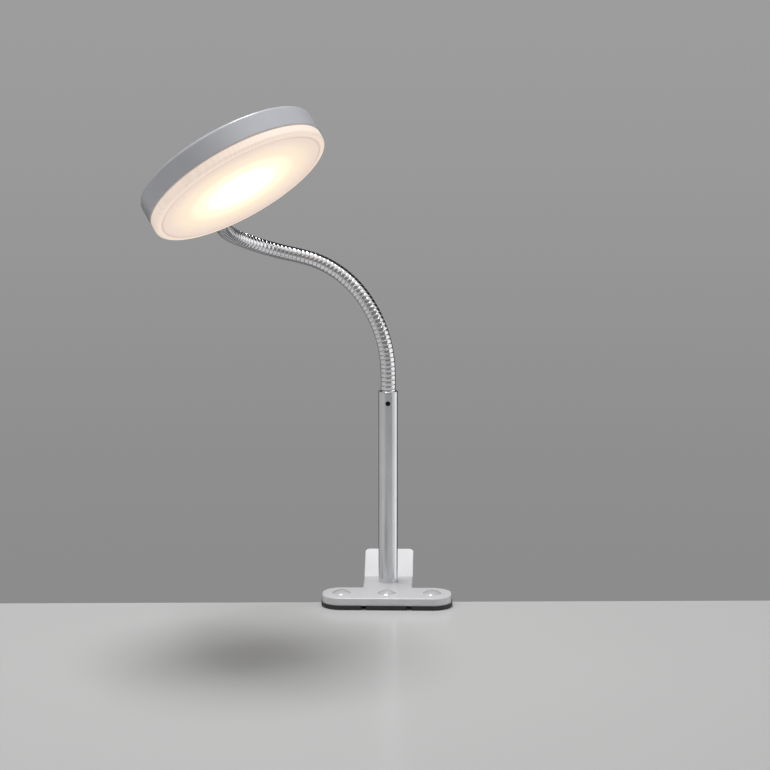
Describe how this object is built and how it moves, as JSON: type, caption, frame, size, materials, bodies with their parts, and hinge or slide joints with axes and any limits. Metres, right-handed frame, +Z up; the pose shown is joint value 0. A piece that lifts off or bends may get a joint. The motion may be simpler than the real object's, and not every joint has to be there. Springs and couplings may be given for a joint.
{
  "type": "clip-on reading lamp",
  "caption": "Reading lamp with a round light on a bendable neck, carried by a post on a sprung clamp that grips a table or shelf edge.",
  "frame": {"origin": "middle of the upper clamp pad's grip face, where it lies on the table top", "axes": "+Z up along the post, -Y towards the user out over the table, +X to the user's right"},
  "size_m": [0.191, 0.2115, 0.3755],
  "materials": {
    "jaw_paint": "satin white powder coat",
    "shell_paint": "satin white paint",
    "pad_rubber": "matte",
    "rivet_gloss": "gloss white",
    "post_chrome": "satin",
    "neck_chrome": "polished",
    "ferrule_chrome": "polished",
    "bright_steel": "zinc plated",
    "spring_steel": "oiled",
    "brass": "turned",
    "black_oxide": "black oxide",
    "gland_plastic": "moulded",
    "diffuser_plastic": "frosted, lit from inside",
    "reflector_plastic": "white",
    "board_aluminium": "white solder mask",
    "led_package": "phosphor",
    "terminal_plastic": "moulded",
    "lead_sheath": "soft"
  },
  "bodies": {
    "post_and_upper_jaw": {"upper_jaw": "jaw_paint", "upper_pad_left": "pad_rubber", "upper_pad_centre": "pad_rubber", "upper_pad_right": "pad_rubber", "upper_rivets": "rivet_gloss", "hinge_pin": "bright_steel", "pin_clip": "bright_steel", "torsion_spring": "spring_steel", "post_tube": "post_chrome", "post_bush": "brass", "nipple": "brass", "lock_washer": "bright_steel", "lock_nut": "bright_steel", "cable_gland": "gland_plastic", "neck_adaptor": "neck_chrome", "neck_grub_screw": "black_oxide", "neck_link_00": "neck_chrome", "lead_cable": "lead_sheath"},
    "lower_jaw_set": {"lower_jaw": "jaw_paint", "lower_pad_left": "pad_rubber", "lower_pad_centre": "pad_rubber", "lower_pad_right": "pad_rubber", "lower_rivets": "rivet_gloss"},
    "neck_body_01": {"neck_link_01": "neck_chrome"},
    "neck_body_02": {"neck_link_02": "neck_chrome"},
    "neck_body_03": {"neck_link_03": "neck_chrome"},
    "neck_body_04": {"neck_link_04": "neck_chrome"},
    "neck_body_05": {"neck_link_05": "neck_chrome"},
    "neck_body_06": {"neck_link_06": "neck_chrome"},
    "neck_body_07": {"neck_link_07": "neck_chrome"},
    "neck_body_08": {"neck_link_08": "neck_chrome"},
    "neck_body_09": {"neck_link_09": "neck_chrome"},
    "neck_body_10": {"neck_link_10": "neck_chrome"},
    "neck_body_11": {"neck_link_11": "neck_chrome"},
    "neck_body_12": {"neck_link_12": "neck_chrome"},
    "neck_body_13": {"neck_link_13": "neck_chrome"},
    "neck_body_14": {"neck_link_14": "neck_chrome"},
    "neck_body_15": {"neck_link_15": "neck_chrome"},
    "neck_body_16": {"neck_link_16": "neck_chrome"},
    "lamp_head": {"neck_link_17": "neck_chrome", "neck_ferrule": "ferrule_chrome", "ferrule_nut": "ferrule_chrome", "head_shell": "shell_paint", "led_board": "board_aluminium", "leds": "led_package", "board_screws": "bright_steel", "terminal_block": "terminal_plastic", "reflector_ring": "reflector_plastic", "diffuser": "diffuser_plastic"}
  },
  "joints": [
    {"name": "jaw_hinge", "type": "hinge", "parent": "post_and_upper_jaw", "child": "lower_jaw_set", "pos_m": [0, 0.022, -0.01], "axis": [1, 0, 0], "range_deg": [-29, 34], "stiffness_Nm_per_rad": 0.6, "springref_deg": -51.57, "deforming": ["torsion_spring"]},
    {"name": "neck_bend_01", "type": "hinge", "parent": "post_and_upper_jaw", "child": "neck_body_01", "pos_m": [0, 0.0326, 0.15], "axis": [-0.373, -0.9278, 0], "range_deg": [-34, 16], "deforming": ["lead_cable"]},
    {"name": "neck_sway_02", "type": "hinge", "parent": "neck_body_01", "child": "neck_body_02", "pos_m": [-0.00081, 0.03293, 0.16197], "axis": [-0.9179, 0.369, -0.1461], "range_deg": [-25, 25], "deforming": ["lead_cable"]},
    {"name": "neck_bend_03", "type": "hinge", "parent": "neck_body_02", "child": "neck_body_03", "pos_m": [-0.00324, 0.0339, 0.17368], "axis": [0.373, 0.9278, 0], "range_deg": [-16, 34], "deforming": ["lead_cable"]},
    {"name": "neck_sway_04", "type": "hinge", "parent": "neck_body_03", "child": "neck_body_04", "pos_m": [-0.00723, 0.03551, 0.18488], "axis": [0.8395, -0.3375, 0.4258], "range_deg": [-25, 25], "deforming": ["lead_cable"]},
    {"name": "neck_bend_05", "type": "hinge", "parent": "neck_body_04", "child": "neck_body_05", "pos_m": [-0.0127, 0.03771, 0.19534], "axis": [-0.373, -0.9278, 0], "range_deg": [-34, 16], "deforming": ["lead_cable"]},
    {"name": "neck_sway_06", "type": "hinge", "parent": "neck_body_05", "child": "neck_body_06", "pos_m": [-0.01952, 0.04045, 0.20482], "axis": [-0.7839, -0.2057, -0.5858], "range_deg": [-25, 25], "deforming": ["lead_cable"]},
    {"name": "neck_bend_07", "type": "hinge", "parent": "neck_body_06", "child": "neck_body_07", "pos_m": [-0.02777, 0.04322, 0.21309], "axis": [-0.0067, 0.9462, -0.3234], "range_deg": [-16, 34], "deforming": ["lead_cable"]},
    {"name": "neck_sway_08", "type": "hinge", "parent": "neck_body_07", "child": "neck_body_08", "pos_m": [-0.0374, 0.04547, 0.21988], "axis": [0.5243, 0.2787, 0.8046], "range_deg": [-25, 25], "deforming": ["lead_cable"]},
    {"name": "neck_bend_09", "type": "hinge", "parent": "neck_body_08", "child": "neck_body_09", "pos_m": [-0.04812, 0.04714, 0.225], "axis": [0.0067, -0.9462, 0.3234], "range_deg": [-34, 16], "deforming": ["lead_cable"]},
    {"name": "neck_sway_10", "type": "hinge", "parent": "neck_body_09", "child": "neck_body_10", "pos_m": [-0.05962, 0.04818, 0.22827], "axis": [-0.0077, -0.9666, 0.2563], "range_deg": [-25, 25], "deforming": ["lead_cable"]},
    {"name": "neck_bend_11", "type": "hinge", "parent": "neck_body_10", "child": "neck_body_11", "pos_m": [-0.07129, 0.04739, 0.23096], "axis": [-0.2014, -0.2496, -0.9472], "range_deg": [-16, 34], "deforming": ["lead_cable"]},
    {"name": "neck_sway_12", "type": "hinge", "parent": "neck_body_11", "child": "neck_body_12", "pos_m": [-0.08221, 0.04366, 0.23426], "axis": [-0.4771, 0.8695, -0.1277], "range_deg": [-25, 25], "deforming": ["lead_cable"]},
    {"name": "neck_bend_13", "type": "hinge", "parent": "neck_body_12", "child": "neck_body_13", "pos_m": [-0.09165, 0.03724, 0.23796], "axis": [0.2014, 0.2496, 0.9472], "range_deg": [-34, 16], "deforming": ["lead_cable"]},
    {"name": "neck_sway_14", "type": "hinge", "parent": "neck_body_13", "child": "neck_body_14", "pos_m": [-0.09899, 0.02857, 0.24181], "axis": [0.8374, -0.5455, -0.0343], "range_deg": [-25, 25], "deforming": ["lead_cable"]},
    {"name": "neck_bend_15", "type": "hinge", "parent": "neck_body_14", "child": "neck_body_15", "pos_m": [-0.10375, 0.0182, 0.24555], "axis": [0.3443, -0.3855, -0.8561], "range_deg": [-16, 34], "deforming": ["lead_cable"]},
    {"name": "neck_sway_16", "type": "hinge", "parent": "neck_body_15", "child": "neck_body_16", "pos_m": [-0.10623, 0.00715, 0.24952], "axis": [-0.9291, -0.0085, -0.3698], "range_deg": [-25, 25], "deforming": ["lead_cable"]},
    {"name": "neck_bend_17", "type": "hinge", "parent": "neck_body_16", "child": "lamp_head", "pos_m": [-0.10698, -0.00387, 0.25419], "axis": [-0.3443, 0.3855, 0.8561], "range_deg": [-34, 16], "deforming": ["lead_cable"]}
  ]
}
